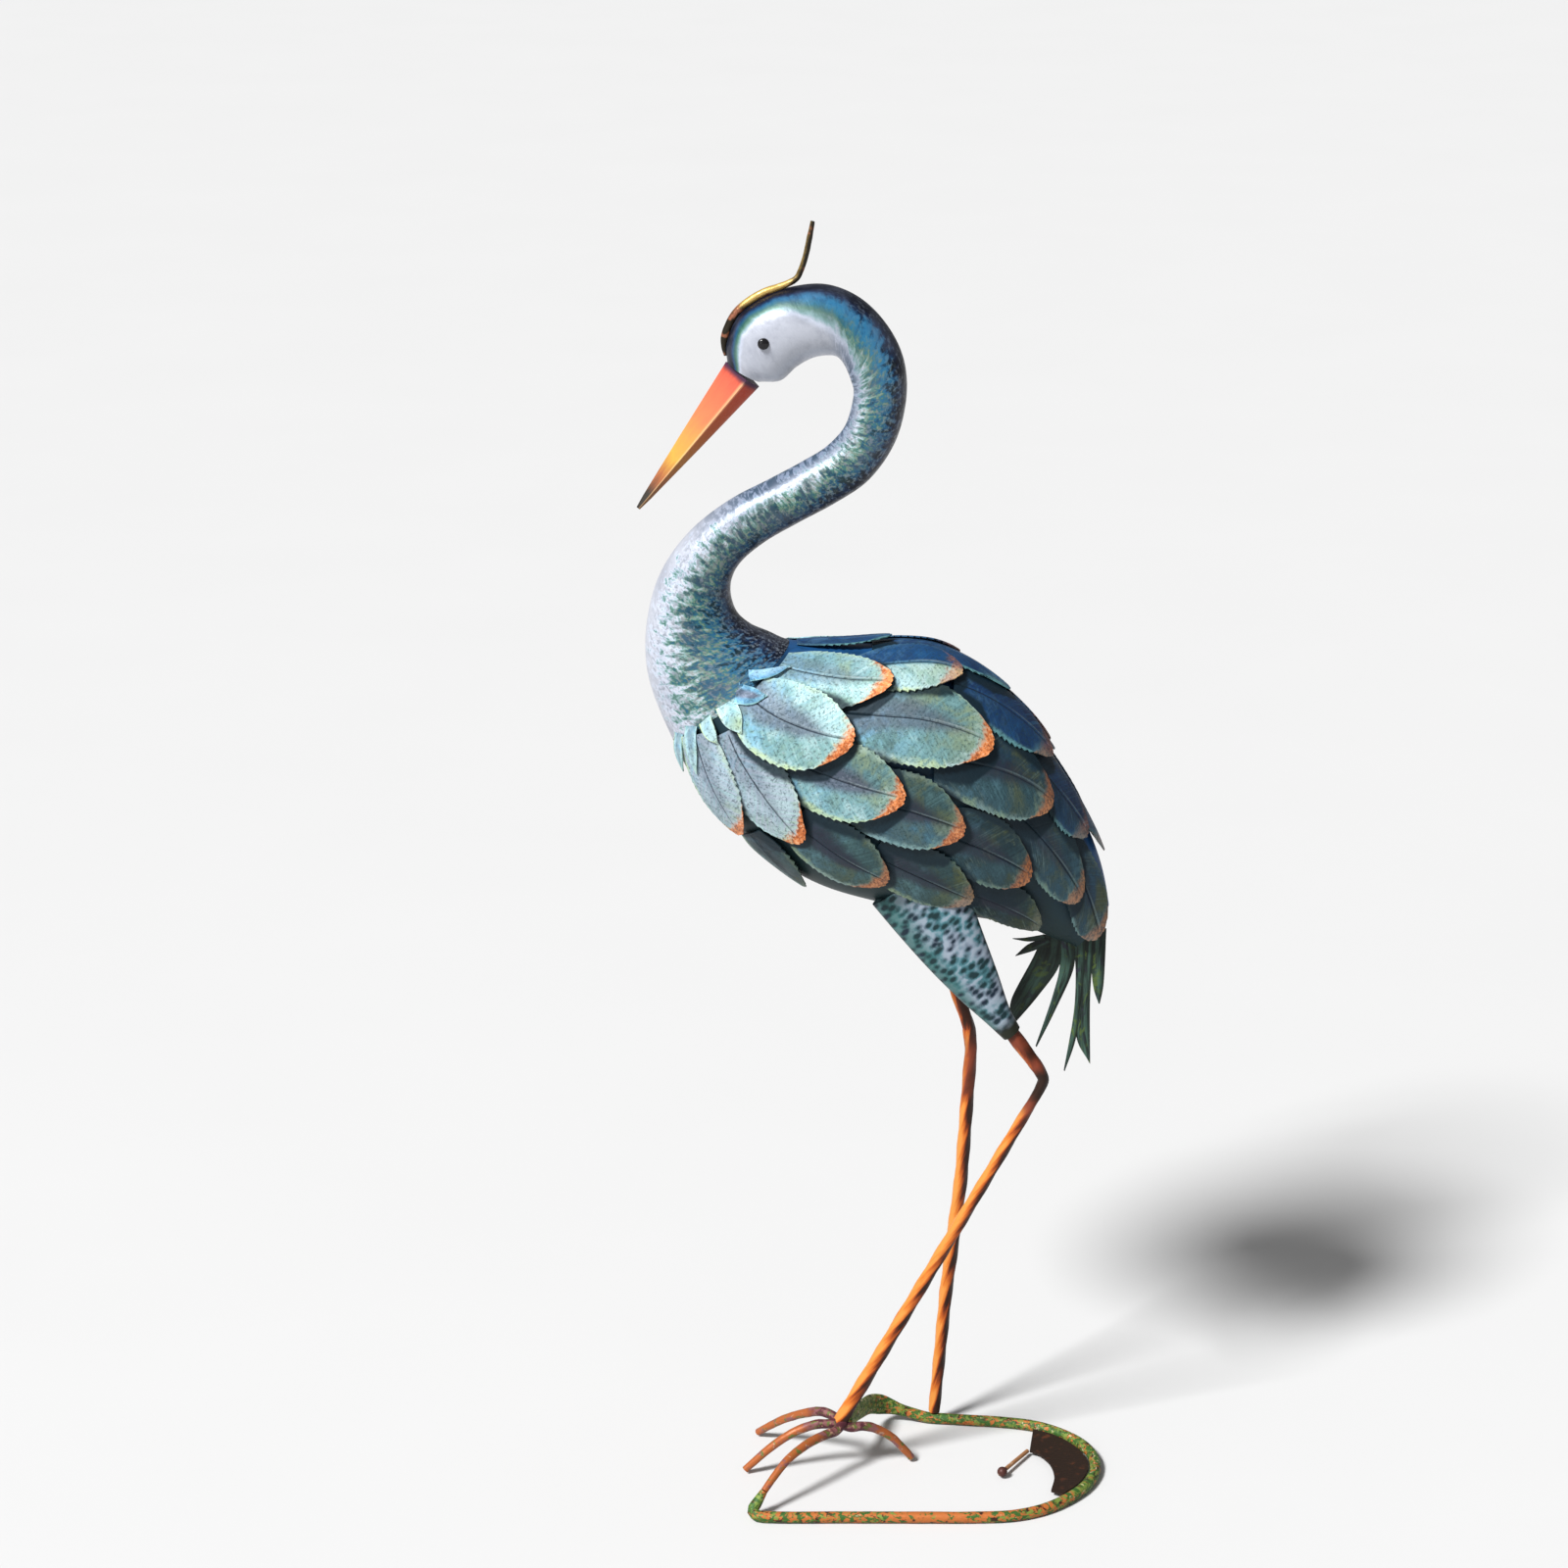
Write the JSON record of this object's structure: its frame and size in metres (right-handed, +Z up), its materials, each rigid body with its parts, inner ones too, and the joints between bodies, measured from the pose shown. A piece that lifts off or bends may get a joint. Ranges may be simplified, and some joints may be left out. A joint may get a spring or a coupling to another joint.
{
  "type": "metal crane garden statue",
  "caption": "Standing crane of painted sheet metal with overlapping leaf-shaped feathers, twisted bar legs and a bent-rod base that stands flat on the ground.",
  "frame": {"origin": "centre of the bounding box seen from above, on the ground under the base rod", "axes": "+Z up from the ground to the crest, +Y away from the bird's near side, across the bird; the bird looks along -X and its middle plane lies at y = 0.0248"},
  "size_m": [0.3635, 0.1947, 0.9999],
  "materials": {
    "neck_paint": "satin",
    "body_paint": "satin",
    "feather_paint": "satin",
    "beak_paint": "satin",
    "crest_paint": "satin",
    "eye_bead": "gloss",
    "thigh_paint": "satin",
    "leg_paint": "satin",
    "toe_paint": "satin",
    "rail_paint": "worn satin",
    "plate_paint": "matt",
    "pin_paint": "satin",
    "tail_paint": "satin"
  },
  "bodies": {
    "root": {"neck_and_head": "neck_paint", "body": "body_paint", "beak": "beak_paint", "crest": "crest_paint", "eye_near": "eye_bead", "eye_far": "eye_bead", "feather_ridge_1": "feather_paint", "feather_ridge_2": "feather_paint", "feather_ridge_3": "feather_paint", "feather_ridge_4": "feather_paint", "feather_back_1_near": "feather_paint", "feather_back_1_far": "feather_paint", "feather_back_2_near": "feather_paint", "feather_back_2_far": "feather_paint", "feather_back_3_near": "feather_paint", "feather_back_3_far": "feather_paint", "feather_back_4_near": "feather_paint", "feather_back_4_far": "feather_paint", "feather_wing_1_near": "feather_paint", "feather_wing_1_far": "feather_paint", "feather_wing_2_near": "feather_paint", "feather_wing_2_far": "feather_paint", "feather_wing_3_near": "feather_paint", "feather_wing_3_far": "feather_paint", "feather_wing_4_near": "feather_paint", "feather_wing_4_far": "feather_paint", "feather_wing_5_near": "feather_paint", "feather_wing_5_far": "feather_paint", "feather_side_1_near": "feather_paint", "feather_side_1_far": "feather_paint", "feather_side_2_near": "feather_paint", "feather_side_2_far": "feather_paint", "feather_side_3_near": "feather_paint", "feather_side_3_far": "feather_paint", "feather_breast_1_near": "feather_paint", "feather_breast_1_far": "feather_paint", "feather_breast_2_near": "feather_paint", "feather_breast_2_far": "feather_paint", "feather_belly_1_near": "feather_paint", "feather_belly_1_far": "feather_paint", "feather_belly_2_near": "feather_paint", "feather_belly_2_far": "feather_paint", "feather_belly_3_near": "feather_paint", "feather_belly_3_far": "feather_paint", "feather_belly_4_near": "feather_paint", "feather_belly_4_far": "feather_paint", "thigh_near": "thigh_paint", "thigh_far": "thigh_paint", "leg_near": "leg_paint", "leg_far": "leg_paint", "toe_outer": "toe_paint", "toe_middle": "toe_paint", "toe_inner": "toe_paint", "toe_back": "toe_paint", "base_loop": "rail_paint", "crescent_plate": "plate_paint", "ball_pin": "pin_paint", "tail_fan": "tail_paint"}
  },
  "joints": []
}
